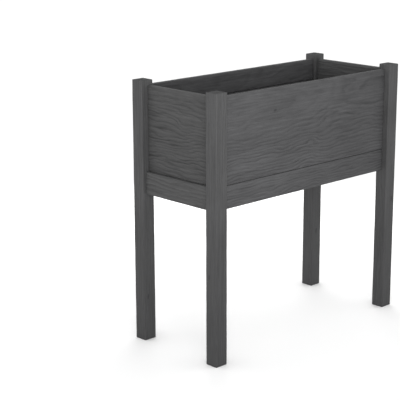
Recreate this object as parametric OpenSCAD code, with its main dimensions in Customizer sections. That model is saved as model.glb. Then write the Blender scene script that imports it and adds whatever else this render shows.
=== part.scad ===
// Raised planter on four square posts: a boarded box with a slatted floor.
// Millimetres, +Z up. The origin is on the ground under the middle of the box.
// +X runs along the length and -Y is the front.

/* [Overall] */
// Length over the posts
planter_l = 700; // [600:10:1000]
// Width over the posts
planter_w = 310; // [280:5:450]
// Height to the top of the posts
planter_h = 700; // [500:10:950]

/* [Posts] */
// Side of each square post
post = 38; // [36:1:50]
// Chamfer on every edge of a post
post_ease = 2; // [0.5:0.25:4]
// How far the posts stand above the boards
post_rise = 13; // [4:1:30]

/* [Wall boards] */
// Thickness of the wall boards
board_t = 12; // [11:0.5:13]
// Height of a narrow board or a bottom rail
narrow_h = 60; // [50:1:80]
// Height of a wide board
wide_h = 225; // [180:5:260]
// Chamfer along the edges of the boards
board_ease = 2; // [0.5:0.25:2]
// Open seam between the two boards of a long wall, for the wood to swell
seam_gap = 0.8; // [0:0.1:1.2]
// Setback of the two long walls from the outside of the posts
long_recess = 17; // [14:0.5:18]
// Setback of the end panels from the outside of the posts
end_recess = 20; // [18:0.5:21]
// Setback of the bottom rail of each end, which stands proud of the panel
rail_recess = 10; // [6:0.5:12]
// Setback of the top board of the right-hand end
cap_recess = 14; // [12:0.5:16]

/* [Tongue and groove] */
// Thickness of the tongue
tongue_t = 4; // [3:0.5:5]
// Height of the tongue
tongue_h = 6; // [4:0.5:8]
// Clearance round the tongue
tongue_gap = 0.2; // [0.1:0.05:0.4]

/* [Floor] */
// Side of the square battens that carry the floor
batten = 20; // [18:1:24]
// Height of the battens above the bottom edge of the walls
batten_lift = 2; // [0:1:10]
// Gap between two floor slats, for water to drain
drain_gap = 10; // [5:1:14]
// Thickness of a floor slat
slat_t = 12; // [10:1:15]
// Clearance at each end of the battens
batten_gap = 2; // [1:0.5:4]
// Clearance at each end of the slats
slat_gap = 1; // [0.5:0.5:3]

/* [Dowels and screws] */
// Diameter of the dowels
dowel_d = 6; // [5:0.5:7]
// Length of the dowels
dowel_l = 30; // [26:1:34]
// Depth of the long-wall dowels in the posts
dowel_in_long = 15; // [12:1:18]
// Greatest depth of the end-wall dowels in the posts
dowel_in_end = 10; // [8:0.5:10]
// Diameter of the screws
screw_d = 4; // [3:0.5:4.5]
// Diameter of the countersunk heads
screw_head_d = 7.6; // [6.5:0.1:8.5]
// Length of the screws that hold the battens
batten_screw_l = 29; // [26:1:29]
// Length of the screws that hold the slats
slat_screw_l = 25; // [20:1:26]

/* [Hidden] */

$fn = 48;
stain = [0.34, 0.345, 0.36];
raw_wood = [0.80, 0.66, 0.46];
zinc = [0.72, 0.73, 0.75];

half_l = planter_l / 2;
half_w = planter_w / 2;
in_x = half_l - post;              // inner face of the posts along the length
in_y = half_w - post;              // inner face of the posts across the width
box_h = narrow_h + wide_h;
z0 = planter_h - post_rise - box_h; // bottom edge of the walls
z_low = z0 + narrow_h;             // top of a bottom rail
z_high = z0 + wide_h;              // bottom of a narrow top board
mid_h = wide_h - narrow_h;         // right-hand panel between its rail and top board
rail_t = end_recess - rail_recess + board_t; // the rail's inner face meets the panel's
wall_y = half_w - long_recess - board_t;     // inner face of the long walls
long_mid = half_w - long_recess - board_t / 2;
end_mid = half_l - end_recess - board_t / 2;
rail_mid = half_l - rail_recess - rail_t / 2;
cap_mid = half_l - cap_recess - board_t / 2;
zb = z0 + batten_lift;             // underside of the battens
zs = zb + batten;                  // underside of the slats
zt = zs + slat_t;                  // top of the floor
batten_l = 2 * (in_x - batten_gap);
slat_l = 2 * (wall_y - slat_gap);
slat_n = 7;                        // each slat is a node of its own
slat_w = (batten_l - (slat_n - 1) * drain_gap) / slat_n;
slat_pitch = slat_w + drain_gap;
screw_y = wall_y - batten / 2 - slat_gap / 2;
// An end-wall dowel stops short of the long-wall dowels, which cross it inside the post.
end_in = min(dowel_in_end, post - long_recess - board_t / 2 - dowel_d / 2 - 0.8);
fit_gap = 0.05;                    // radial clearance of dowels and screws
end_gap = 0.5;                     // spare depth past a dowel or a screw tip

// The upper board of a long wall starts above the seam.
wide_top = wide_h - seam_gap;
narrow_top = narrow_h - seam_gap;

function spread(z, h, n, m) = [for (i = [0:n - 1]) z + m + i * (h - 2 * m) / (n - 1)];
narrow_low = spread(z0, narrow_h, 2, 15);
narrow_high = spread(z_high, narrow_h, 2, 15);
wide_low = spread(z0, wide_h, 4, 25);
wide_high = spread(z_low, wide_h, 4, 25);
mid_z = spread(z_low, mid_h, 3, 25);
function slat_x(i) = -batten_l / 2 + slat_w / 2 + (i - 1) * slat_pitch;
batten_xs = [for (i = [1:slat_n - 1]) slat_x(i) + slat_pitch / 2];
slat_dx = slat_w / 2 - 15;          // half the spacing of the two screws at a slat's end

// ---- shared shapes ----

module eased_rect(w, h, c)
  polygon([[c, 0], [w - c, 0], [w, c], [w, h - c], [w - c, h], [c, h], [0, h - c], [0, c]]);

// A bar with all twelve edges chamfered, from the origin to [a, b, h].
module eased_bar(a, b, h, c)
  intersection() {
    linear_extrude(h) eased_rect(a, b, c);
    translate([0, b, 0]) rotate([90, 0, 0]) linear_extrude(b) eased_rect(a, h, c);
    rotate([90, 0, 90]) linear_extrude(a) eased_rect(b, h, c);
  }

// Section of a wall board: x is the depth from the outer face, y is the height.
// tongue and groove give the depth of the joint's centre, or 0 for a plain edge, and seam
// is how far the lower edge stands clear of the board below.
module board_section(t, h, c, tongue, groove, seam)
  polygon(concat(
    [[0, c], [c, 0]],
    groove > 0 ? [
      [groove - tongue_t / 2 - tongue_gap, 0],
      [groove - tongue_t / 2 - tongue_gap, tongue_h + tongue_gap - seam],
      [groove + tongue_t / 2 + tongue_gap, tongue_h + tongue_gap - seam],
      [groove + tongue_t / 2 + tongue_gap, 0]] : [],
    [[t - c, 0], [t, c], [t, h - c], [t - c, h]],
    tongue > 0 ? [
      [tongue + tongue_t / 2, h],
      [tongue + tongue_t / 2, h + tongue_h],
      [tongue - tongue_t / 2, h + tongue_h],
      [tongue - tongue_t / 2, h]] : [],
    [[c, h], [0, h - c]]
  ));

// Dowels across both ends of a long wall (side is -1 for the front, 1 for the back).
module long_dowels(side, zs, gap, over)
  for (e = [-1, 1], z = zs)
    translate([e * in_x, side * long_mid, z]) rotate([0, e * 90, 0])
      translate([0, 0, dowel_in_long - dowel_l - over]) pin_shape(dowel_d / 2 + gap, dowel_l + 2 * over, gap);

// Dowels across both edges of an end wall (side is -1 for the left, 1 for the right).
module end_dowels(side, x, zs, gap, over)
  for (e = [-1, 1], z = zs)
    translate([side * x, e * in_y, z]) rotate([-e * 90, 0, 0])
      translate([0, 0, end_in - dowel_l - over]) pin_shape(dowel_d / 2 + gap, dowel_l + 2 * over, gap);

// A dowel has chamfered ends; its hole (gap above 0) is a plain cylinder.
module pin_shape(r, l, gap)
  if (gap > 0) cylinder(h = l, r = r);
  else rotate_extrude() polygon([[0, 0], [r - 0.8, 0], [r, 0.8], [r, l - 0.8], [r - 0.8, l], [0, l]]);

// Countersunk wood screw: head face at the origin, point towards -Z.
module screw_body(l, g, over)
  rotate_extrude() polygon([
    [0, over], [screw_head_d / 2 + g, over], [screw_head_d / 2 + g, -0.4 - g],
    [screw_d / 2 + g, -2.8 - g], [screw_d / 2 + g, 4 - l - g], [0.4 + g, -l - g], [0, -l - g]]);

module screw(l)
  difference() {
    screw_body(l, 0, 0);
    for (a = [0, 90]) rotate([0, 0, a]) translate([-2.1, -0.45, -1.6]) cube([4.2, 0.9, 2]);
  }

module at_batten_screws(side)
  for (x = batten_xs)
    translate([x, side * (wall_y - batten), zb + batten / 2]) rotate([side * 90, 0, 0]) children();

module at_slat_screws(i)
  for (e = [-1, 1], d = [-slat_dx, slat_dx])
    translate([slat_x(i) + d, e * screw_y, zt]) children();

// ---- posts ----

module leg(sx, sy)
  color(stain) difference() {
    translate([sx < 0 ? -half_l : in_x, sy < 0 ? -half_w : in_y, 0])
      eased_bar(post, post, planter_h, post_ease);
    if (sy < 0) long_dowels(-1, concat(narrow_low, wide_high), fit_gap, end_gap);
    else long_dowels(1, concat(wide_low, narrow_high), fit_gap, end_gap);
    end_dowels(sx, rail_mid, narrow_low, fit_gap, end_gap);
    if (sx < 0) end_dowels(-1, end_mid, wide_high, fit_gap, end_gap);
    else {
      end_dowels(1, end_mid, mid_z, fit_gap, end_gap);
      end_dowels(1, cap_mid, narrow_high, fit_gap, end_gap);
    }
  }

module leg_front_left() leg(-1, -1);
module leg_front_right() leg(1, -1);
module leg_back_left() leg(-1, 1);
module leg_back_right() leg(1, 1);

// ---- long walls ----

// A board of a long wall, standing on height z.
module long_board(side, z, h, tongue, groove)
  translate([0, 0, z]) mirror([0, side > 0 ? 1 : 0, 0])
    translate([-in_x, -half_w + long_recess, 0]) rotate([90, 0, 90])
      linear_extrude(2 * in_x) board_section(board_t, h, board_ease, tongue, groove, seam_gap);

module front_upper_board()
  color(stain) difference() {
    long_board(-1, z_low + seam_gap, wide_top, 0, board_t / 2);
    long_dowels(-1, wide_high, fit_gap, end_gap);
  }

module front_lower_board()
  color(stain) difference() {
    long_board(-1, z0, narrow_h, board_t / 2, 0);
    long_dowels(-1, narrow_low, fit_gap, end_gap);
    at_batten_screws(-1) screw_body(batten_screw_l, fit_gap, 0);
  }

module back_upper_board()
  color(stain) difference() {
    long_board(1, z_high + seam_gap, narrow_top, 0, board_t / 2);
    long_dowels(1, narrow_high, fit_gap, end_gap);
  }

module back_lower_board()
  color(stain) difference() {
    long_board(1, z0, wide_h, board_t / 2, 0);
    long_dowels(1, wide_low, fit_gap, end_gap);
    at_batten_screws(1) screw_body(batten_screw_l, fit_gap, 0);
  }

// ---- end walls ----

// A board of an end wall, set back from the outside of the posts by recess.
module end_board(side, z, t, h, recess, tongue, groove)
  translate([0, 0, z]) mirror([side > 0 ? 1 : 0, 0, 0])
    translate([-half_l + recess, in_y, 0]) rotate([90, 0, 0])
      linear_extrude(2 * in_y) board_section(t, h, board_ease, tongue, groove, 0);

module left_end_panel()
  color(stain) difference() {
    end_board(-1, z_low, board_t, wide_h, end_recess, 0, board_t / 2);
    end_dowels(-1, end_mid, wide_high, fit_gap, end_gap);
  }

module left_bottom_rail()
  color(stain) difference() {
    end_board(-1, z0, rail_t, narrow_h, rail_recess, rail_t - board_t / 2, 0);
    end_dowels(-1, rail_mid, narrow_low, fit_gap, end_gap);
  }

module right_bottom_rail()
  color(stain) difference() {
    end_board(1, z0, rail_t, narrow_h, rail_recess, rail_t - board_t / 2, 0);
    end_dowels(1, rail_mid, narrow_low, fit_gap, end_gap);
  }

module right_end_panel()
  color(stain) difference() {
    end_board(1, z_low, board_t, mid_h, end_recess, 0, board_t / 2);
    end_dowels(1, end_mid, mid_z, fit_gap, end_gap);
  }

module right_top_board()
  color(stain) difference() {
    end_board(1, z_high, board_t, narrow_h, cap_recess, 0, 0);
    end_dowels(1, cap_mid, narrow_high, fit_gap, end_gap);
  }

// ---- floor ----

module floor_batten(side)
  color(stain) difference() {
    translate([-batten_l / 2, side < 0 ? -wall_y : wall_y - batten, zb])
      eased_bar(batten_l, batten, batten, 1);
    at_batten_screws(side) screw_body(batten_screw_l, fit_gap, 1);
    for (i = [1:slat_n]) at_slat_screws(i) screw_body(slat_screw_l, fit_gap, 0);
  }

module front_floor_batten() floor_batten(-1);
module back_floor_batten() floor_batten(1);

module floor_slat(i)
  color(stain) difference() {
    translate([slat_x(i) - slat_w / 2, -slat_l / 2, zs]) eased_bar(slat_w, slat_l, slat_t, 1);
    at_slat_screws(i) screw_body(slat_screw_l, fit_gap, 1);
  }

module floor_slat_1() floor_slat(1);
module floor_slat_2() floor_slat(2);
module floor_slat_3() floor_slat(3);
module floor_slat_4() floor_slat(4);
module floor_slat_5() floor_slat(5);
module floor_slat_6() floor_slat(6);
module floor_slat_7() floor_slat(7);

// ---- dowels and screws ----

module front_wall_dowels() color(raw_wood) long_dowels(-1, concat(narrow_low, wide_high), 0, 0);
module back_wall_dowels() color(raw_wood) long_dowels(1, concat(wide_low, narrow_high), 0, 0);

module left_end_dowels()
  color(raw_wood) {
    end_dowels(-1, rail_mid, narrow_low, 0, 0);
    end_dowels(-1, end_mid, wide_high, 0, 0);
  }

module right_end_dowels()
  color(raw_wood) {
    end_dowels(1, rail_mid, narrow_low, 0, 0);
    end_dowels(1, end_mid, mid_z, 0, 0);
    end_dowels(1, cap_mid, narrow_high, 0, 0);
  }

module front_batten_screws() color(zinc) at_batten_screws(-1) screw(batten_screw_l);
module back_batten_screws() color(zinc) at_batten_screws(1) screw(batten_screw_l);
module floor_slat_screws() color(zinc) for (i = [1:slat_n]) at_slat_screws(i) screw(slat_screw_l);

leg_front_left();
leg_front_right();
leg_back_left();
leg_back_right();
front_upper_board();
front_lower_board();
back_upper_board();
back_lower_board();
left_end_panel();
left_bottom_rail();
right_top_board();
right_end_panel();
right_bottom_rail();
front_floor_batten();
back_floor_batten();
floor_slat_1();
floor_slat_2();
floor_slat_3();
floor_slat_4();
floor_slat_5();
floor_slat_6();
floor_slat_7();
front_wall_dowels();
back_wall_dowels();
left_end_dowels();
right_end_dowels();
front_batten_screws();
back_batten_screws();
floor_slat_screws();
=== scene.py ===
import math

import bpy
import numpy as np
from mathutils import Matrix, Vector


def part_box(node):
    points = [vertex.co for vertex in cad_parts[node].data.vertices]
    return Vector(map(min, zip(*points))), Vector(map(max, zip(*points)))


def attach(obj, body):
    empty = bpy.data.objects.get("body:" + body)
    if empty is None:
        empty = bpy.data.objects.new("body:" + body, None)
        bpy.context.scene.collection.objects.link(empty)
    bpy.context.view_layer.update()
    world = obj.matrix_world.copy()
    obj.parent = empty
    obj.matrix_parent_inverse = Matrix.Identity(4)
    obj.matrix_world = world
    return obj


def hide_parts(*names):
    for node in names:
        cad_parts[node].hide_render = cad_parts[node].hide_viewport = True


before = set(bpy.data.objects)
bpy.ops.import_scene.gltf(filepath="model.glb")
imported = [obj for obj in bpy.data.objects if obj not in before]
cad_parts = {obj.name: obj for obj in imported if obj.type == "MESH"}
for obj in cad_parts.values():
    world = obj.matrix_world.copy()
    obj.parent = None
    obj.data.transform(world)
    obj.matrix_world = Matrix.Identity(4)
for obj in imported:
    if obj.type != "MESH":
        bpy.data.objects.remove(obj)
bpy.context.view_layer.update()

MM = 0.001
scene = bpy.context.scene


def mm_box(node):
    """A node's box in millimetres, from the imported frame."""
    lo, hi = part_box(node)
    return np.array(lo, float) * 1000, np.array(hi, float) * 1000


# ------------------------------------------------------------------ camera
cam_data = bpy.data.cameras.new("camera")
cam_data.sensor_width = 36.0
cam_data.lens = 116.12
cam_data.shift_x = -0.05
cam_data.clip_start, cam_data.clip_end = 0.05, 200.0
cam = bpy.data.objects.new("camera", cam_data)
scene.collection.objects.link(cam)
cam.location = (-2.4696, -2.3415, 1.2323)
YAW, PITCH = math.radians(45.719), math.radians(14.602)
aim = Vector((math.cos(YAW) * math.cos(PITCH), math.sin(YAW) * math.cos(PITCH), -math.sin(PITCH)))
cam.rotation_mode = "QUATERNION"
cam.rotation_quaternion = aim.to_track_quat("-Z", "Y")
scene.camera = cam

# ------------------------------------------------------------------ wood fields


class Wood:
    """The growth rings of one piece, as a function of the place in it in mm.

    a runs along the grain, b across the face and c into the depth. The pith is a line
    that starts at (b0, c0) and leans by (tb, tc); s is the ring spacing; swells push the
    rings over a patch of the face; knots turn them aside. A knot is (a, place across, size,
    reach) and runs into the depth, or (..., "b") for one that runs across the face instead.
    bends carry the rings up or down along the grain, and bold says where they show most.
    The paleness factor says how pale this piece is, and on one board it is painted light; the (amount, reach) pair is
    painted shade that darkens the piece towards a = 0, or painted light that pales it there where the amount is
    negative.
    """

    def __init__(self, seed, length, b0, c0, tb=0.0, tc=0.0, s=7.0, wander=2.5, swells=(), knots=(),
                 bends=(), base=1.0, bold=(), tone=1.0, painted_end_falloff=(0.0, 480)):
        rng = np.random.default_rng(seed)
        self.b0, self.c0, self.tb, self.tc, self.s = b0, c0, tb, tc, s
        self.length, self.swells, self.knots = length, swells, knots
        self.bends, self.base, self.bold, self.tone, self.painted_end_falloff = bends, base, bold, tone, painted_end_falloff
        self.shift = rng.uniform(-400, 400, 3)
        # slow wander of the whole stem, then shorter waves along the grain
        self.slow = [(wander / (1 + 0.7 * k), 1 / (rng.uniform(220, 520) / (1 + 0.6 * k)),
                      1 / rng.uniform(140, 420) * rng.choice([-1, 1]), rng.uniform(0, 2 * np.pi)) for k in range(4)]
        self.fine = [(0.085 / (1 + 0.25 * k), 1 / (rng.uniform(85, 190) / (1 + 0.35 * k)),
                      1 / rng.uniform(16, 60) * rng.choice([-1, 1]),
                      1 / rng.uniform(14, 40) * rng.choice([-1, 1]), rng.uniform(0, 2 * np.pi)) for k in range(6)]

    def rings(self, a, b, c):
        """Ring count at each place, and how near the place is to the heart of a knot."""
        a, b, c = (np.asarray(x, float) for x in (a, b, c))
        w = b.copy()
        for amp, ka, kb, ph in self.slow:
            w = w + amp * np.sin(2 * np.pi * (ka * a + kb * b) + ph)
        v = c.copy()
        heart = np.zeros_like(a)
        core = np.zeros_like(a)
        for ka, kb, size, reach, *way in self.knots:
            u = v if way == ["b"] else w
            da, db = a - ka, u - kb
            push = size * 1.25 * np.exp(-(da / (reach * 1.6)) ** 2) * np.exp(-np.abs(db) / (reach * 1.1))
            u = kb + np.sign(db) * np.maximum(np.abs(db) - push, 0)
            if way == ["b"]:
                v = u
            else:
                w = u
            rho = np.hypot(da / 1.45, db) / size
            near = np.clip(1.25 - rho, 0, 1)
            near = near * near * (3 - 2 * near)
            core = np.where(near > heart, rho * size / 1.1, core)
            heart = np.maximum(heart, near)
        pb, pc = self.b0 + self.tb * a, self.c0 + self.tc * a
        phase = np.hypot(w - pb, v - pc) / self.s
        for amp, fa, fb, fc, ph in self.fine:
            phase = phase + amp * np.sin(2 * np.pi * (fa * a + fb * b + fc * c) + ph)
        for sa, sb, la, lb, amount in self.swells:
            phase = phase + amount * np.exp(-((a - sa) / la) ** 2 - ((b - sb) / lb) ** 2)
        for sa, sb, la, lb, amount in self.bends:
            phase = phase + amount * np.tanh((a - sa) / la) * np.exp(-((b - sb) / lb) ** 2)
        return phase * (1 - heart) + (core + 40) * heart, heart

    def strength(self, a, b):
        """How strongly the rings show at each place."""
        out = np.full(np.shape(a), float(self.base))
        for sa, sb, la, lb, amount in self.bold:
            out = out + amount * np.exp(-((a - sa) / la) ** 2 - ((b - sb) / lb) ** 2)
        return np.clip(out, 0.1, 1.8)

    def shade(self, a):
        """The piece's paleness, times painted shade that darkens it towards the a = 0 end, or painted light that pales
        it there where the amount is negative.
        """
        amount, reach = self.painted_end_falloff
        near = np.clip(1 - np.asarray(a, float) / reach, 0, 1)
        return self.tone * (1 - amount * near * near * (3 - 2 * near))

    def relief(self, phase, heart):
        """Depth below the planed face in mm: soft early wood sinks, hard late wood stands."""
        f = phase - np.floor(phase)
        late = np.clip((f - 0.30) / 0.40, 0, 1) * np.clip((1 - f) / 0.14, 0, 1)
        return (0.13 * (1 - late)) * (1 - heart) + 0.03 * heart


# ------------------------------------------------------------------ meshes


def rounded(points, radii, step, arc=4):
    """A closed outline with rounded corners and even points along its sides, with outward normals."""
    pts = [np.array(p, float) for p in points]
    n = len(pts)
    area = sum(pts[i][0] * pts[(i + 1) % n][1] - pts[(i + 1) % n][0] * pts[i][1] for i in range(n)) / 2
    assert area > 0, "outline must run counter-clockwise"
    corners = []
    for i in range(n):
        p, q, r = pts[i - 1], pts[i], pts[(i + 1) % n]
        u, v = (q - p) / np.linalg.norm(q - p), (r - q) / np.linalg.norm(r - q)
        turn = u[0] * v[1] - u[1] * v[0]
        nu, nv = np.array([u[1], -u[0]]), np.array([v[1], -v[0]])
        rad = radii[i]
        if rad <= 0 or abs(turn) < 1e-9:
            corners.append(([q], [(nu + nv) / np.linalg.norm(nu + nv)], q, q))
            continue
        half = math.acos(max(-1, min(1, float(u @ v)))) / 2
        t = rad * math.tan(half)
        start, sign = q - u * t, 1 if turn > 0 else -1
        centre = start - nu * rad * sign
        a0 = math.atan2(*(start - centre)[::-1])
        ps, ns = [], []
        for k in range(arc + 1):
            ang = a0 + sign * 2 * half * k / arc
            d = np.array([math.cos(ang), math.sin(ang)])
            ps.append(centre + rad * d)
            ns.append(d * sign)
        corners.append((ps, ns, ps[0], ps[-1]))
    out, nor = [], []
    for i in range(n):
        ps, ns, _, end = corners[i]
        out += ps
        nor += ns
        nxt = corners[(i + 1) % n][2]
        gap = nxt - end
        dist = np.linalg.norm(gap)
        m = int(dist // step)
        if m > 0:
            g = gap / dist
            for k in range(1, m + 1):
                out.append(end + gap * k / (m + 1))
                nor.append(np.array([g[1], -g[0]]))
    return np.array(out), np.array(nor)


def build(name, outline, normals, length, place, wood, along=8.0, end_round=1.0, end_grain=False,
          worn=0.5, relief=1.0, edges=()):
    """Sweeps an outline along the grain into one closed mesh, with the wood's relief cut into it.

    place maps (a, b, c) in mm to the frame in mm. edges holds the (b, c) places of the long
    corners, for wear.
    """
    n = len(outline)
    steps = 3 if end_round > 0 else 0
    # (distance in from the end, inset of the outline), from the end face inwards
    ends = [(end_round * (1 - math.cos(math.pi / 2 * k / steps)), end_round * (1 - math.sin(math.pi / 2 * k / steps)))
            for k in range(steps + 1)] if steps else [(0.0, 0.0)]
    inner = max(2, int(round((length - 2 * end_round) / along)))
    mids = [end_round + (length - 2 * end_round) * k / inner for k in range(1, inner)]
    st = [(d, i) for d, i in ends] + [(m, 0.0) for m in mids] + [(length - d, i) for d, i in reversed(ends)]
    A = np.array([s[0] for s in st])[:, None] * np.ones(n)[None, :]
    inset = np.array([s[1] for s in st])[:, None]
    B = outline[None, :, 0] - normals[None, :, 0] * inset
    C = outline[None, :, 1] - normals[None, :, 1] * inset
    phase, heart = wood.rings(A, B, C)
    cut = wood.relief(phase, heart) * relief
    rng = np.random.default_rng(int(abs(wood.shift[0]) * 1000) % 2**31)
    # a long corner is never quite straight: it is worn by tenths of a millimetre
    near = np.zeros_like(A)
    for eb, ec in edges:
        dist = np.hypot(B - eb, C - ec)
        near = np.maximum(near, np.clip(1 - dist / 3.2, 0, 1))
    waves = sum(np.sin(2 * np.pi * A / rng.uniform(25, 170) + rng.uniform(0, 6.28) + 2.0 * np.sign(B - B.mean()) + 1.3 * np.sign(C - C.mean()))
                / (k + 1) for k in range(5))
    cut = cut + near * worn * np.clip(0.16 + 0.13 * waves, 0.0, 0.55)
    cut = np.where(inset > end_round * 0.6, cut * 0.4, cut)
    B = B - normals[None, :, 0] * cut
    C = C - normals[None, :, 1] * cut
    co = [np.stack([A, B, C], -1).reshape(-1, 3)]
    ph, he, ed = [phase.ravel()], [heart.ravel()], [near.ravel()]
    # the ends drink more of the stain, as far as the first tenths of a millimetre of the side
    en = [(np.clip((inset - end_round * 0.5) / (end_round * 0.5 + 1e-9), 0, 1) * np.ones(n)[None, :]).ravel()]
    faces = []
    m = len(st)
    idx = np.arange(m * n).reshape(m, n)
    nxt = np.roll(idx, -1, axis=1)
    quads = np.stack([idx[:-1], nxt[:-1], nxt[1:], idx[1:]], -1).reshape(-1, 4)
    faces += quads.tolist()
    base = m * n
    for end, row in ((0, 0), (1, m - 1)):
        ring = idx[row]
        a_end = 0.0 if end == 0 else length
        if not end_grain:
            loop = ring.tolist()
            faces.append(loop[::-1] if end == 0 else loop)
            continue
        cb, cc = B[row].mean(), C[row].mean()
        prev = ring
        for t in (0.93, 0.84, 0.74, 0.63, 0.52, 0.41, 0.3, 0.19, 0.09):
            b = cb + (B[row] - cb) * t
            c = cc + (C[row] - cc) * t
            p, h = wood.rings(np.full(n, a_end), b, c)
            f = p - np.floor(p)
            late = np.clip((f - 0.35) / 0.45, 0, 1) * np.clip((1 - f) / 0.14, 0, 1)
            sink = 0.22 * (1 - late)
            a = a_end + (sink if end == 0 else -sink)
            co.append(np.stack([a, b, c], -1))
            ph.append(p); he.append(h); ed.append(np.zeros(n)); en.append(np.ones(n))
            cur = np.arange(base, base + n)
            base += n
            pn, cn = np.roll(prev, -1), np.roll(cur, -1)
            q = np.stack([prev, cur, cn, pn], -1) if end == 0 else np.stack([prev, pn, cn, cur], -1)
            faces += q.tolist()
            prev = cur
        p, h = wood.rings(np.array([a_end]), np.array([cb]), np.array([cc]))
        co.append(np.array([[a_end + (0.1 if end == 0 else -0.1), cb, cc]]))
        ph.append(p); he.append(h); ed.append(np.zeros(1)); en.append(np.ones(1))
        pn = np.roll(prev, -1)
        tri = [[int(x), base, int(y)] if end == 0 else [int(x), int(y), base] for x, y in zip(prev, pn)]
        faces += tri
        base += 1
    abc = np.concatenate(co)
    ph, he, ed, en = (np.concatenate(x) for x in (ph, he, ed, en))
    world = place(abc) * MM
    mesh = bpy.data.meshes.new(name)
    mesh.from_pydata(world.tolist(), [], faces)
    mesh.validate()
    import bmesh
    bm = bmesh.new()
    bm.from_mesh(mesh)
    bmesh.ops.recalc_face_normals(bm, faces=bm.faces)
    bm.to_mesh(mesh)
    bm.free()
    # the paleness attribute holds each piece's own paleness with the painted shade and painted light of its ends
    for key, vals in (("rings", ph), ("heart", he), ("edge", ed), ("bold", wood.strength(abc[:, 0], abc[:, 1])),
                      ("endgrain", en), ("tone", wood.shade(abc[:, 0]))):
        at = mesh.attributes.new(key, "FLOAT", "POINT")
        at.data.foreach_set("value", vals.astype(np.float32))
    at = mesh.attributes.new("grain", "FLOAT_VECTOR", "POINT")
    at.data.foreach_set("vector", (abc + wood.shift).astype(np.float32).ravel())
    mesh.shade_smooth()
    mesh.set_sharp_from_angle(angle=math.radians(38))
    ob = bpy.data.objects.new(name, mesh)
    scene.collection.objects.link(ob)
    return ob


# ------------------------------------------------------------------ materials


class Nodes:
    """Small helper that wires shader nodes."""

    def __init__(self, name):
        self.mat = bpy.data.materials.new(name)
        self.mat.use_nodes = True
        self.t = self.mat.node_tree
        self.t.nodes.clear()
        self.out = self.t.nodes.new("ShaderNodeOutputMaterial")
        self.bsdf = self.t.nodes.new("ShaderNodeBsdfPrincipled")
        self.t.links.new(self.bsdf.outputs[0], self.out.inputs[0])

    def put(self, node, key, value):
        if isinstance(value, bpy.types.NodeSocket):
            self.t.links.new(value, node.inputs[key])
        elif value is not None:
            node.inputs[key].default_value = value

    def attr(self, name, kind="Fac"):
        n = self.t.nodes.new("ShaderNodeAttribute")
        n.attribute_name = name
        return n.outputs[kind]

    def math(self, op, a, b=None, c=None, clamp=False):
        n = self.t.nodes.new("ShaderNodeMath")
        n.operation, n.use_clamp = op, clamp
        for i, v in enumerate((a, b, c)):
            self.put(n, i, v)
        return n.outputs[0]

    def vmath(self, op, a, b=None):
        n = self.t.nodes.new("ShaderNodeVectorMath")
        n.operation = op
        self.put(n, 0, a)
        if b is not None:
            self.put(n, 1, b)
        return n.outputs[0]

    def noise(self, vec, scale=1.0, detail=2.0, rough=0.5, distort=0.0):
        n = self.t.nodes.new("ShaderNodeTexNoise")
        self.put(n, "Vector", vec)
        for k, v in (("Scale", scale), ("Detail", detail), ("Roughness", rough), ("Distortion", distort)):
            n.inputs[k].default_value = v
        return n.outputs["Fac"]

    def ramp(self, fac, stops, interp="LINEAR"):
        n = self.t.nodes.new("ShaderNodeValToRGB")
        n.color_ramp.interpolation = interp
        els = n.color_ramp.elements
        while len(els) < len(stops):
            els.new(0.5)
        for e, (p, v) in zip(els, stops):
            e.position = p
            e.color = (v, v, v, 1) if not isinstance(v, tuple) else (*v, 1)
        self.put(n, 0, fac)
        return n.outputs[0]

    def mix(self, fac, a, b, mode="MIX"):
        n = self.t.nodes.new("ShaderNodeMix")
        n.data_type, n.blend_type = "RGBA", mode
        self.put(n, 0, fac)
        for k, v in ((6, a), (7, b)):
            if isinstance(v, tuple):
                v = (*v, 1)
            self.put(n, k, v)
        return n.outputs[2]

    def remap(self, v, lo, hi, to0=0.0, to1=1.0):
        n = self.t.nodes.new("ShaderNodeMapRange")
        self.put(n, 0, v)
        for k, x in zip((1, 2, 3, 4), (lo, hi, to0, to1)):
            n.inputs[k].default_value = x
        return n.outputs[0]

    def along(self, vec):
        """The first part of a vector: the distance along the grain."""
        n = self.t.nodes.new("ShaderNodeSeparateXYZ")
        self.put(n, 0, vec)
        return n.outputs[0]

    def bump(self, height, strength, distance, normal=None):
        n = self.t.nodes.new("ShaderNodeBump")
        n.inputs["Strength"].default_value = strength
        n.inputs["Distance"].default_value = distance
        self.put(n, "Height", height)
        if normal is not None:
            self.put(n, "Normal", normal)
        return n.outputs[0]


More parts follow.
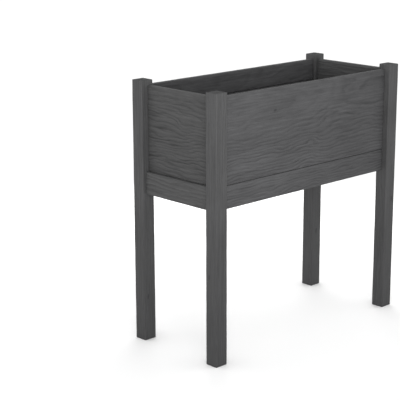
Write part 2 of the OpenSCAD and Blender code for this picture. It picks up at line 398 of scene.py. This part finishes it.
def stained_pine(name, light, dark, line=1.0, saw=0.0, rough=0.70, streaks=1.0):
    """Pine under a thin grey stain: the late wood takes it darker, the knots darkest."""
    m = Nodes(name)
    place = m.attr("grain", "Vector")
    rings, heart, edge, bold = m.attr("rings"), m.attr("heart"), m.attr("edge"), m.attr("bold")
    # broad patches where the stain took more or less
    broad = m.noise(m.vmath("MULTIPLY", place, (0.006, 0.020, 0.020)), detail=3.0, rough=0.55)
    cloud = m.noise(m.vmath("MULTIPLY", place, (0.020, 0.060, 0.060)), detail=4.0, rough=0.6, distort=0.4)
    # fibres run a long way along the grain and are fine across it
    fibre = m.noise(m.vmath("MULTIPLY", place, (0.018, 0.85, 0.85)), detail=4.0, rough=0.62)
    hair = m.noise(m.vmath("MULTIPLY", place, (0.06, 3.2, 3.2)), detail=3.0, rough=0.6)
    streak = m.noise(m.vmath("MULTIPLY", place, (0.0075, 0.24, 0.24)), detail=3.0, rough=0.5)
    # rings: the count wobbles a little with the fibres, so no line is clean
    count = m.math("ADD", rings, m.math("MULTIPLY", m.math("SUBTRACT", fibre, 0.5), 0.34))
    turn = m.math("FRACT", count)
    late = m.ramp(turn, [(0.0, 0.16), (0.07, 0.0), (0.34, 0.05), (0.60, 0.50), (0.80, 1.0), (0.92, 0.88), (1.0, 0.16)])
    # not every ring is as dark as the next
    which = m.math("FLOOR", count)
    pick = m.math("FRACT", m.math("MULTIPLY", m.math("SINE", m.math("MULTIPLY", which, 12.9898)), 437.585))
    pick = m.math("ABSOLUTE", pick)
    weight = m.math("MULTIPLY", m.math("MULTIPLY_ADD", pick, 0.65, 0.35), bold)
    fade = m.remap(cloud, 0.36, 0.64, 0.35, 1.0)
    lines = m.math("MULTIPLY", m.math("MULTIPLY", late, weight), fade)
    ends = m.attr("endgrain")
    lines = m.math("MULTIPLY", lines, m.math("MULTIPLY_ADD", ends, 0.9, line), clamp=True)
    col = m.mix(lines, light, dark)
    col = m.mix(1.0, col, m.ramp(broad, [(0.30, 0.86), (0.5, 0.99), (0.70, 1.10)]), "MULTIPLY")
    for field, low, high in ((streak, 0.18, 0.12), (fibre, 0.22, 0.20), (hair, 0.14, 0.12)):
        col = m.mix(1.0, col, m.ramp(field, [(0.33, 1 - low * streaks), (0.50, 1.0), (0.67, 1 + high * streaks)]), "MULTIPLY")
    # short resin ducts, darker than the wood round them
    duct = m.noise(m.vmath("MULTIPLY", place, (0.045, 1.4, 1.4)), detail=1.0)
    col = m.mix(m.ramp(duct, [(0.64, 0.0), (0.72, 0.55)]), col, tuple(x * 0.72 for x in dark))
    # end grain drinks the stain, and one piece of timber takes it a little deeper than the next; the per-piece paleness
    # multiplied in here also holds painted shade and painted light, darker or paler towards one end of a piece and
    # paler over one whole board
    col = m.mix(1.0, col, m.ramp(ends, [(0.0, 1.0), (1.0, 0.80)]), "MULTIPLY")
    tone = m.t.nodes.new("ShaderNodeCombineColor")
    for i in range(3):
        m.put(tone, i, m.attr("tone"))
    col = m.mix(1.0, col, tone.outputs[0], "MULTIPLY")
    # knots
    rim = m.ramp(heart, [(0.0, 0.0), (0.10, 0.75), (0.35, 0.55), (1.0, 0.85)])
    col = m.mix(rim, col, tuple(x * 0.62 for x in dark))
    # corners rub a little paler and greyer
    rub = m.math("MULTIPLY", m.ramp(edge, [(0.35, 0.0), (0.95, 1.0)]), m.remap(cloud, 0.42, 0.66, 0.0, 0.5))
    col = m.mix(rub, col, tuple(x * 1.22 for x in light))
    if saw > 0:
        band = m.math("SINE", m.math("MULTIPLY", m.math("ADD", m.along(place), m.math("MULTIPLY", fibre, 3.0)), 1.35))
        col = m.mix(1.0, col, m.ramp(m.math("MULTIPLY_ADD", band, 0.5, 0.5), [(0.0, 1.0 - saw), (1.0, 1.0)]), "MULTIPLY")
    m.put(m.bsdf, "Base Color", col)
    r = m.math("ADD", m.remap(fibre, 0.3, 0.7, rough - 0.07, rough + 0.07),
               m.math("MULTIPLY", lines, -0.08))
    r = m.math("ADD", r, m.remap(broad, 0.3, 0.7, -0.05, 0.05))
    m.put(m.bsdf, "Roughness", m.math("MULTIPLY_ADD", ends, 0.22, r))
    m.bsdf.inputs["Specular IOR Level"].default_value = 0.22
    height = m.math("ADD", m.math("MULTIPLY", fibre, 0.5), m.math("MULTIPLY", hair, 0.35))
    height = m.math("ADD", height, m.math("MULTIPLY", lines, 0.5))
    height = m.math("SUBTRACT", height, m.math("MULTIPLY", m.ramp(duct, [(0.64, 0.0), (0.72, 1.0)]), 0.5))
    if saw > 0:
        height = m.math("ADD", height, m.math("MULTIPLY", band, 0.35))
    m.put(m.bsdf, "Normal", m.bump(height, 0.55, 0.00035))
    return m.mat


BOARD = stained_pine("grey_stained_pine_board", (0.0616, 0.0616, 0.0634), (0.0293, 0.0293, 0.0303), line=0.76, streaks=0.8)
END = stained_pine("grey_stained_pine_end", (0.0583, 0.0583, 0.0587), (0.0226, 0.0226, 0.0228), line=0.80, streaks=0.85)
POST = stained_pine("grey_stained_pine_post", (0.0598, 0.0598, 0.0608), (0.0366, 0.0366, 0.0371), line=0.65, streaks=0.6)
SAWN = stained_pine("grey_stained_pine_sawn", (0.0586, 0.0586, 0.0594), (0.0317, 0.0317, 0.0322), line=0.8, saw=0.07, rough=0.78)


def beech(name):
    m = Nodes(name)
    tc = m.t.nodes.new("ShaderNodeTexCoord").outputs["Object"]
    place = m.vmath("MULTIPLY", tc, (1000, 1000, 1000))
    grain = m.noise(m.vmath("MULTIPLY", place, (0.15, 0.9, 0.9)), detail=4.0, rough=0.6)
    fleck = m.noise(m.vmath("MULTIPLY", place, (0.8, 2.5, 2.5)), detail=2.0)
    col = m.mix(m.ramp(grain, [(0.3, 0.0), (0.7, 1.0)]), (0.62, 0.40, 0.21), (0.44, 0.26, 0.12))
    col = m.mix(m.ramp(fleck, [(0.58, 0.0), (0.68, 0.6)]), col, (0.30, 0.17, 0.08))
    m.put(m.bsdf, "Base Color", col)
    m.put(m.bsdf, "Roughness", m.remap(grain, 0.3, 0.7, 0.5, 0.68))
    m.put(m.bsdf, "Normal", m.bump(grain, 0.4, 0.0002))
    return m.mat


def zinc(name):
    m = Nodes(name)
    tc = m.t.nodes.new("ShaderNodeTexCoord").outputs["Object"]
    place = m.vmath("MULTIPLY", tc, (1000, 1000, 1000))
    cell = m.noise(place, scale=0.9, detail=4.0, rough=0.6)
    fine = m.noise(place, scale=5.0, detail=3.0)
    col = m.mix(m.ramp(cell, [(0.35, 0.0), (0.68, 1.0)]), (0.62, 0.63, 0.65), (0.44, 0.45, 0.46))
    col = m.mix(m.ramp(fine, [(0.60, 0.0), (0.72, 0.5)]), col, (0.30, 0.30, 0.29))
    m.put(m.bsdf, "Base Color", col)
    m.bsdf.inputs["Metallic"].default_value = 1.0
    m.put(m.bsdf, "Roughness", m.remap(cell, 0.3, 0.7, 0.30, 0.52))
    m.put(m.bsdf, "Normal", m.bump(fine, 0.25, 0.0001))
    return m.mat


BEECH, ZINC = beech("beech_dowel"), zinc("zinc_plated_steel")

# ------------------------------------------------------------------ pieces


def finish_piece(ob, node, mat):
    ob.data.materials.append(mat)
    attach(ob, "root")
    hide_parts(node)
    return ob


# posts: grain upright
# the (amount, 480) pairs paint shade on each post, darker towards its foot
POSTS = {
    "leg_front_left": dict(seed=11, b0=-26, c0=58, tb=0.004, tc=-0.006, s=5.2, painted_end_falloff=(0.10, 480)),
    "leg_front_right": dict(seed=12, b0=64, c0=-22, tb=-0.006, tc=0.004, s=5.6, tone=1.04, painted_end_falloff=(0.17, 480)),
    "leg_back_left": dict(seed=13, b0=62, c0=54, tb=0.003, tc=0.004, s=5.0, tone=1.05, painted_end_falloff=(0.17, 480)),
    "leg_back_right": dict(seed=14, b0=-20, c0=-24, tb=0.005, tc=0.003, s=5.4, painted_end_falloff=(0.07, 480)),
}
KNOTS = {
    "leg_front_left": [(236, 25, 2.2, 9, "b")],
    "leg_front_right": [(318, 24, 2.6, 10)],
    "leg_back_left": [(120, 14, 2.6, 10)],
    "leg_back_right": [(168, 19, 3.0, 11)],
}
for node, w in POSTS.items():
    lo, hi = mm_box(node)
    side_b, side_c = hi[0] - lo[0], hi[1] - lo[1]
    height = hi[2] - lo[2]
    wood = Wood(length=height, wander=1.6, knots=KNOTS[node], **w)
    R = 2.2
    pts = [(0, 0), (side_b, 0), (side_b, side_c), (0, side_c)]
    outline, normals = rounded(pts, [R] * 4, 1.9, arc=5)
    ob = build(node + "_look", outline, normals, height,
               lambda p, lo=lo: np.stack([lo[0] + p[:, 1], lo[1] + p[:, 2], lo[2] + p[:, 0]], -1),
               wood, along=7.0, end_round=1.8, end_grain=True, worn=0.8,
               edges=[(0.6, 0.6), (side_b - 0.6, 0.6), (side_b - 0.6, side_c - 0.6), (0.6, side_c - 0.6)])
    finish_piece(ob, node, POST)

# the tongue and groove of part.scad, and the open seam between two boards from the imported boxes
TONGUE_T, TONGUE_H, GAP = 4.0, 6.0, 0.2
SEAM = mm_box("front_upper_board")[0][2] - (mm_box("front_lower_board")[1][2] - TONGUE_H)


def board_outline(t, h, tongue, groove, seam, r, step):
    """Section of a board: x is the depth from the outer face, y the height."""
    pts, rad = [(0, 0)], [r]
    if groove:
        a, b = groove - TONGUE_T / 2 - GAP, groove + TONGUE_T / 2 + GAP
        deep = TONGUE_H + GAP - seam
        pts += [(a, 0), (a, deep), (b, deep), (b, 0)]
        rad += [0, 0.3, 0.3, 0]
    pts += [(t, 0), (t, h)]
    rad += [r, r]
    if tongue:
        a, b = tongue - TONGUE_T / 2, tongue + TONGUE_T / 2
        pts += [(b, h), (b, h + TONGUE_H), (a, h + TONGUE_H), (a, h)]
        rad += [0, 0.5, 0.5, 0]
    pts += [(0, h)]
    rad += [r]
    return rounded(pts, rad, step, arc=4)


def wall_board(node, axis, side, t, tongue, groove, wood, mat=None, step=2.2, r=2.0):
    """A board of a wall. axis is the way its grain runs; side is -1 or 1, the way it faces."""
    lo, hi = mm_box(node)
    h = hi[2] - lo[2] - (TONGUE_H if tongue else 0)
    outline, normals = board_outline(t, h, tongue, groove, SEAM if axis == 0 else 0.0, r, step)
    # the wood's b is height and its c is depth, so the outline's columns are swapped here
    bc = outline[:, ::-1][::-1].copy()
    nbc = normals[:, ::-1][::-1].copy()
    if axis == 0:
        length = hi[0] - lo[0]
        face = lo[1] if side < 0 else hi[1]
        place = lambda p: np.stack([lo[0] + p[:, 0], face - side * p[:, 2], lo[2] + p[:, 1]], -1)
    else:
        length = hi[1] - lo[1]
        face = lo[0] if side < 0 else hi[0]
        place = lambda p: np.stack([face - side * p[:, 2], lo[1] + p[:, 0], lo[2] + p[:, 1]], -1)
    ob = build(node + "_look", bc, nbc, length, place, wood, along=6.0, end_round=0.6, worn=0.6,
               edges=[(0.4, 0.4), (h - 0.4, 0.4), (0.4, t - 0.4), (h - 0.4, t - 0.4)])
    return finish_piece(ob, node, mat or (BOARD if axis == 0 else END))


T = 12.0
L = 624.0
# swells, bends and knots: (along from the left or front end, height in the board, ...)
wall_board("front_upper_board", 0, -1, T, 0, T / 2, Wood(
    21, L, b0=182, c0=62, tb=-0.018, tc=0.05, s=7.6, wander=4.0, base=0.85,
    swells=[(405, 128, 95, 42, 2.2), (478, 186, 62, 20, 1.9), (330, 72, 26, 11, 1.3), (130, 62, 70, 22, 0.8),
            (120, 150, 85, 26, 1.0), (560, 95, 55, 30, 0.9)],
    bold=[(240, 30, 420, 46, 0.55), (410, 110, 110, 50, 0.35), (110, 190, 120, 40, -0.35)],
    knots=[(186, 165, 1.8, 8)]))
# the (-0.11, 420) pair paints light on this board, paler towards its left end
wall_board("front_lower_board", 0, -1, T, T / 2, 0, Wood(
    22, L, b0=118, c0=40, tb=0.02, tc=0.01, s=6.8, wander=3.0, base=1.2, tone=1.02, painted_end_falloff=(-0.11, 420),
    swells=[(210, 30, 80, 18, 1.1), (470, 22, 70, 16, -0.8)]))
wall_board("back_upper_board", 0, 1, T, 0, T / 2, Wood(
    23, L, b0=24, c0=48, tb=0.012, tc=0.03, s=6.2, wander=3.5,
    swells=[(180, 30, 70, 16, 1.2), (430, 36, 60, 14, 1.4)]))
wall_board("back_lower_board", 0, 1, T, T / 2, 0, Wood(
    24, L, b0=70, c0=55, tb=0.03, tc=-0.03, s=7.4, wander=4.5,
    swells=[(200, 120, 90, 34, 2.0), (470, 60, 80, 26, 1.6)], knots=[(395, 96, 3.6, 15), (120, 40, 3.0, 12)]))
W = 234.0
# the (0.06, 234) pairs paint shade on the end panel and its rail, darker towards their front ends; the rail's 1.10
# makes it paler than the panel
wall_board("left_end_panel", 1, -1, T, 0, T / 2, Wood(
    25, W, b0=262, c0=50, tb=-0.05, tc=0.08, s=9.4, wander=3.5, base=1.05, tone=1.04, painted_end_falloff=(0.06, 234),
    swells=[(175, 60, 40, 24, 0.8), (60, 36, 36, 18, 0.9), (170, 128, 34, 12, 0.35)],
    bends=[(116, 141, 13, 30, 0.85), (70, 90, 24, 26, -0.35)],
    bold=[(172, 128, 34, 16, 0.45), (117, 40, 120, 40, 0.3), (117, 215, 130, 20, -0.2)]), r=1.1)
wall_board("left_bottom_rail", 1, -1, 22, 16, 0, Wood(
    26, W, b0=-22, c0=46, tb=0.03, tc=0.02, s=7.6, wander=2.5, swells=[(90, 30, 50, 16, 1.0)],
    base=1.2, tone=1.10, painted_end_falloff=(0.06, 234)), r=1.4)
wall_board("right_end_panel", 1, 1, T, 0, T / 2, Wood(
    27, W, b0=60, c0=52, tb=0.08, tc=0.03, s=8.6, wander=3.5, swells=[(120, 90, 40, 26, 1.8)],
    bends=[(90, 60, 20, 30, 0.5)], knots=[(70, 120, 2.8, 12)]))
wall_board("right_bottom_rail", 1, 1, 22, 16, 0, Wood(
    28, W, b0=90, c0=40, tb=-0.02, tc=0.03, s=7.4, wander=2.5, swells=[(150, 30, 50, 16, 1.1)]))
# the 1.24 paleness factor paints light on this board, making it paler than the wood round it
wall_board("right_top_board", 1, 1, T, 0, 0, Wood(
    29, W, b0=-14, c0=44, tb=0.02, tc=0.02, s=6.8, wander=2.5, swells=[(120, 28, 44, 16, 1.2)], base=1.3, tone=1.24))


# ------------------------------------------------------------------ floor of the box
def bar(node, axis, seed, b0, c0, s, knots=(), mat=SAWN):
    """A plain bar with its grain along the axis, in the box that the frame gives it."""
    lo, hi = mm_box(node)
    size = hi - lo
    if axis == 0:
        length, sb, sc = size[0], size[1], size[2]
        place = lambda p: np.stack([lo[0] + p[:, 0], lo[1] + p[:, 1], lo[2] + p[:, 2]], -1)
    else:
        length, sb, sc = size[1], size[0], size[2]
        place = lambda p: np.stack([lo[0] + p[:, 1], lo[1] + p[:, 0], lo[2] + p[:, 2]], -1)
    wood = Wood(seed, length, b0, c0, tb=0.01, tc=0.01, s=s, wander=2.5, knots=knots)
    outline, normals = rounded([(0, 0), (sb, 0), (sb, sc), (0, sc)], [1.2] * 4, 2.4, arc=3)
    ob = build(node + "_look", outline, normals, length, place, wood, along=7.0, end_round=1.0, worn=0.8,
               edges=[(0.3, 0.3), (sb - 0.3, 0.3), (sb - 0.3, sc - 0.3), (0.3, sc - 0.3)])
    return finish_piece(ob, node, mat)


bar("front_floor_batten", 0, 41, -14, 30, 4.6)
bar("back_floor_batten", 0, 42, 34, -12, 4.8)
for i in range(7):
    rng = np.random.default_rng(60 + i)
    knots = [(rng.uniform(40, 210), rng.uniform(18, 62), rng.uniform(2.0, 3.6), 12)] if i in (0, 2, 3, 5) else []
    bar("floor_slat_%d" % (i + 1), 1, 50 + i, rng.uniform(8, 72), rng.uniform(-60, -34), rng.uniform(5.2, 6.8), knots)


# ------------------------------------------------------------------ dowels and screws
def loose_parts(ob):
    """Boxes in mm of the separate solids in a CAD node's mesh."""
    me = ob.data
    n = len(me.vertices)
    co = np.empty(n * 3)
    me.vertices.foreach_get("co", co)
    co = co.reshape(-1, 3)
    key = {}
    ident = np.empty(n, int)
    for i, p in enumerate(np.round(co * 1e6).astype(int)):
        ident[i] = key.setdefault(tuple(p), len(key))
    parent = list(range(len(key)))

    def find(x):
        while parent[x] != x:
            parent[x] = parent[parent[x]]
            x = parent[x]
        return x

    for e in me.edges:
        a, b = find(ident[e.vertices[0]]), find(ident[e.vertices[1]])
        if a != b:
            parent[a] = b
    groups = {}
    for i in range(n):
        groups.setdefault(find(ident[i]), []).append(i)
    boxes = []
    for g in groups.values():
        pts = (np.array(ob.matrix_world)[:3, :3] @ co[g].T).T + np.array(ob.matrix_world)[:3, 3]
        boxes.append((pts.min(0) * 1000, pts.max(0) * 1000))
    boxes.sort(key=lambda b: tuple(np.round(b[0], 2)))
    return boxes


def merged(name, chunks):
    """One object from several (points in mm, faces) lists."""
    verts, faces = [], []
    for pts, fs in chunks:
        off = len(verts)
        verts += (pts * MM).tolist()
        faces += [[i + off for i in f] for f in fs]
    me = bpy.data.meshes.new(name)
    me.from_pydata(verts, [], faces)
    me.validate()
    import bmesh
    bm = bmesh.new()
    bm.from_mesh(me)
    bmesh.ops.recalc_face_normals(bm, faces=bm.faces)
    bm.to_mesh(me)
    bm.free()
    me.shade_smooth()
    me.set_sharp_from_angle(angle=math.radians(35))
    ob = bpy.data.objects.new(name, me)
    scene.collection.objects.link(ob)
    return ob


def lathe_grid(stations, radius, n):
    """Closed surface of rings: radius(k, angle) at each height in stations."""
    ang = np.arange(n) * 2 * np.pi / n
    rows = [np.stack([radius(k, ang) * np.cos(ang), radius(k, ang) * np.sin(ang), np.full(n, z)], -1) for k, z in enumerate(stations)]
    pts = np.concatenate(rows)
    faces = []
    for k in range(len(stations) - 1):
        for j in range(n):
            a, b = k * n + j, k * n + (j + 1) % n
            faces.append([a, b, b + n, a + n])
    faces.append(list(range(n))[::-1])
    faces.append([(len(stations) - 1) * n + j for j in range(n)])
    return pts, faces


def fluted_dowel(length, r):
    """A dowel with straight glue flutes and chamfered ends, along +Z."""
    n, flutes = 64, 16
    zs = [0, 0.5, 1.4, length - 1.4, length - 0.5, length]
    rs = [r - 0.8, r - 0.3, r - 0.02, r - 0.02, r - 0.3, r - 0.8]
    return lathe_grid(zs, lambda k, a: rs[k] - (0.16 if 0 < k < 5 else 0.0) * (0.5 - 0.5 * np.cos(a * flutes)) ** 2, n)


def turned(pts, direction, at):
    """Points along +Z turned to a direction and moved."""
    z = np.array(direction, float)
    x = np.array([0, 0, 1.0]) if abs(z[2]) < 0.9 else np.array([1.0, 0, 0])
    x = np.cross(x, z); x /= np.linalg.norm(x)
    y = np.cross(z, x)
    return pts @ np.stack([x, y, z]) + np.array(at, float)


for node in ("front_wall_dowels", "back_wall_dowels", "left_end_dowels", "right_end_dowels"):
    chunks = []
    for lo, hi in loose_parts(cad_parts[node]):
        size = hi - lo
        k = int(np.argmax(size))
        r = float(np.delete(size, k).max()) / 2
        pts, fs = fluted_dowel(float(size[k]), r - 0.01)
        d = np.zeros(3); d[k] = 1
        at = (lo + hi) / 2
        at[k] = lo[k]
        chunks.append((turned(pts, d, at), fs))
    ob = merged(node + "_look", chunks)
    finish_piece(ob, node, BEECH)


def wood_screw(length, head_r, r):
    """A countersunk wood screw: head face at z = 0, point at -length, with a cross recess and a thread."""
    n = 24
    thread_top, pitch, core = -length * 0.36, 2.0, r * 0.72
    steps = int(length * 3.2)
    zs, kinds = [], []
    for i in range(steps + 1):
        zs.append(-2.8 - (length - 2.8) * i / steps)
    ang = np.arange(n) * 2 * np.pi / n
    rows = []
    for z in zs:
        tip = np.clip((length + z) / 4.5, 0.0, 1.0)
        if z > thread_top:
            rad = np.full(n, core * 1.12)
        else:
            ph = ((z / pitch) - ang / (2 * np.pi)) % 1.0
            tooth = np.clip(1 - np.abs(ph - 0.5) / 0.22, 0, 1)
            rad = (core * tip ** 0.8 + 0.02) + (r - core - 0.03) * tooth * tip ** 0.6
        rows.append(np.stack([rad * np.cos(ang), rad * np.sin(ang), np.full(n, z)], -1))
    rows = rows[::-1]                                    # from the point up to the neck
    neck = [(-2.8, core * 1.16), (-2.3, r * 1.02), (-0.45, head_r - 0.03), (-0.3, head_r), (-0.12, head_r), (0.0, head_r - 0.16)]
    for z, rad in neck[1:]:
        rows.append(np.stack([rad * np.cos(ang), rad * np.sin(ang), np.full(n, z)], -1))

    # head face: rings that dip into the cross recess
    def dip(x, y):
        wide, reach, deep = 0.52, 2.15, 1.7
        def slot(u, v):
            return np.clip((wide - np.abs(v)) / 0.22, 0, 1) * np.clip((reach - np.abs(u)) / 0.35, 0, 1)
        d = np.maximum(slot(x, y), slot(y, x))
        return d * (deep - 0.35 * np.hypot(x, y))
    n2 = n
    for t in (0.86, 0.72, 0.62, 0.54, 0.46, 0.38, 0.30, 0.22, 0.15, 0.08):
        rr = head_r * t
        x, y = rr * np.cos(ang), rr * np.sin(ang)
        rows.append(np.stack([x, y, -dip(x, y)], -1))
    pts = np.concatenate(rows)
    faces = []
    m = len(rows)
    for k in range(m - 1):
        for j in range(n2):
            a, b = k * n2 + j, k * n2 + (j + 1) % n2
            faces.append([a, b, b + n2, a + n2])
    faces.append(list(range(n2))[::-1])
    faces.append([(m - 1) * n2 + j for j in range(n2)])
    return pts, faces


for node in ("front_batten_screws", "back_batten_screws", "floor_slat_screws"):
    chunks = []
    rng = np.random.default_rng(len(node))
    for lo, hi in loose_parts(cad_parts[node]):
        size = hi - lo
        k = int(np.argmax(size))
        up = {"front_batten_screws": (0, 1, 0), "back_batten_screws": (0, -1, 0), "floor_slat_screws": (0, 0, 1)}[node]
        head_r = float(np.delete(size, k).max()) / 2
        pts, fs = wood_screw(float(size[k]), head_r, 2.0)
        a = rng.uniform(0, math.pi / 2)
        rot = np.array([[math.cos(a), -math.sin(a), 0], [math.sin(a), math.cos(a), 0], [0, 0, 1]])
        at = (lo + hi) / 2
        at[k] = hi[k] if sum(up) > 0 else lo[k]
        chunks.append((turned(pts @ rot.T, up, at), fs))
    ob = merged(node + "_look", chunks)
    finish_piece(ob, node, ZINC)

# ------------------------------------------------------------------ stage and light
mesh = bpy.data.meshes.new("floor")
S = 40.0
mesh.from_pydata([(-S, -S, 0), (S, -S, 0), (S, S, 0), (-S, S, 0)], [], [(0, 1, 2, 3)])
floor = bpy.data.objects.new("floor", mesh)
scene.collection.objects.link(floor)
fm = Nodes("pale_floor")
fm.bsdf.inputs["Base Color"].default_value = (0.98, 0.98, 0.98, 1)
fm.bsdf.inputs["Roughness"].default_value = 0.95
fm.bsdf.inputs["Specular IOR Level"].default_value = 0.1
mesh.materials.append(fm.mat)

world = bpy.data.worlds.new("studio")
scene.world = world
world.use_nodes = True
bg = world.node_tree.nodes.get("Background") or world.node_tree.nodes.new("ShaderNodeBackground")
bg.inputs[0].default_value = (1, 1, 1, 1)
bg.inputs[1].default_value = 1.08


def area(name, place, target, size, power, spread=180):
    d = bpy.data.lights.new(name, "AREA")
    d.shape, d.size, d.size_y, d.energy = "RECTANGLE", size[0], size[1], power
    d.spread = math.radians(spread)
    o = bpy.data.objects.new(name, d)
    o.location = place
    o.rotation_mode = "QUATERNION"
    o.rotation_quaternion = (Vector(target) - Vector(place)).to_track_quat("-Z", "Y")
    o.visible_camera = False
    scene.collection.objects.link(o)
    return o


area("fill", (1.2, 1.35, 0.42), (0.08, 0.1, 0.46), (1.1, 0.4), 7.0, 120)
area("key", (-1.02, -1.12, 0.84), (-0.08, -0.1, 0.72), (0.7, 0.45), 2.8, 75)

scene.view_settings.view_transform = "Standard"
scene.view_settings.look = "None"
scene.view_settings.exposure = 0.0
scene.view_settings.gamma = 1.0
